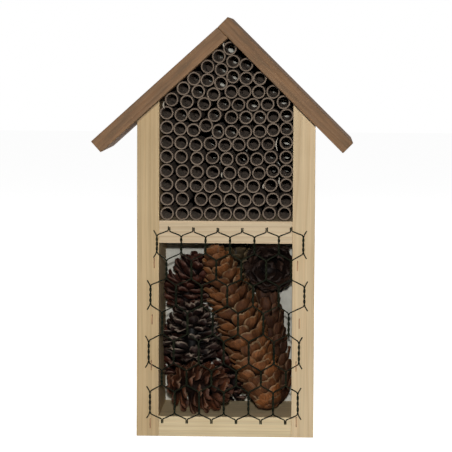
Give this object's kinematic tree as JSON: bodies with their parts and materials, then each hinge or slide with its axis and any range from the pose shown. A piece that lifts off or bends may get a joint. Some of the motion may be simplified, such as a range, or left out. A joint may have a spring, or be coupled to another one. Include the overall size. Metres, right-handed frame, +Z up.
{
  "type": "insect hotel",
  "caption": "Small gable-roofed insect hotel: card nesting tubes above a shelf, cones behind hexagonal wire netting below, brown overhanging roof boards.",
  "frame": {"origin": "middle of the underside of the frame, on the surface that it stands on", "axes": "+Z up through the gable, -Y out of the open front, +X to the right as seen from the front"},
  "size_m": [0.1858, 0.1067, 0.3023],
  "materials": {
    "pine": "planed bare pine, matte",
    "stained_pine": "brown stained planed boards, matte",
    "pale_board": "pale faced fibreboard, matte",
    "cardboard": "grey-brown wound card, matte",
    "dark_cone": "dry open pine cone, matte with paler scale tips",
    "spruce_cone": "dry spruce cone, satin orange-brown scales",
    "netting_wire": "dark green plastic-coated wire",
    "bright_steel": "galvanised wire and plate",
    "nail_steel": "plain steel nails"
  },
  "bodies": {
    "root": {"back_panel": "pale_board", "back_panel_pins": "nail_steel", "base_board": "pine", "base_nails_left": "nail_steel", "base_nails_right": "nail_steel", "hanger_plate": "bright_steel", "hanger_screws": "bright_steel", "mesh_staples": "bright_steel", "middle_shelf": "pine", "pine_cone_lower_left": "dark_cone", "pine_cone_middle_left": "dark_cone", "pine_cone_rear_left": "dark_cone", "pine_cone_rear_lower": "dark_cone", "pine_cone_rear_upper": "dark_cone", "pine_cone_upper_left": "dark_cone", "pine_cone_upper_right": "dark_cone", "ridge_nails": "nail_steel", "roof_board_left": "stained_pine", "roof_board_right": "stained_pine", "roof_nails_left": "nail_steel", "roof_nails_right": "nail_steel", "shelf_nails_left": "nail_steel", "shelf_nails_right": "nail_steel", "side_board_left": "pine", "side_board_right": "pine", "spruce_cone_dark": "dark_cone", "spruce_cone_long": "spruce_cone", "tube_row_01": "cardboard", "tube_row_02": "cardboard", "tube_row_03": "cardboard", "tube_row_04": "cardboard", "tube_row_05": "cardboard", "tube_row_06": "cardboard", "tube_row_07": "cardboard", "tube_row_08": "cardboard", "tube_row_09": "cardboard", "tube_row_10": "cardboard", "tube_row_11": "cardboard", "tube_row_12": "cardboard", "tube_row_13": "cardboard", "wire_mesh": "netting_wire"}
  },
  "joints": []
}
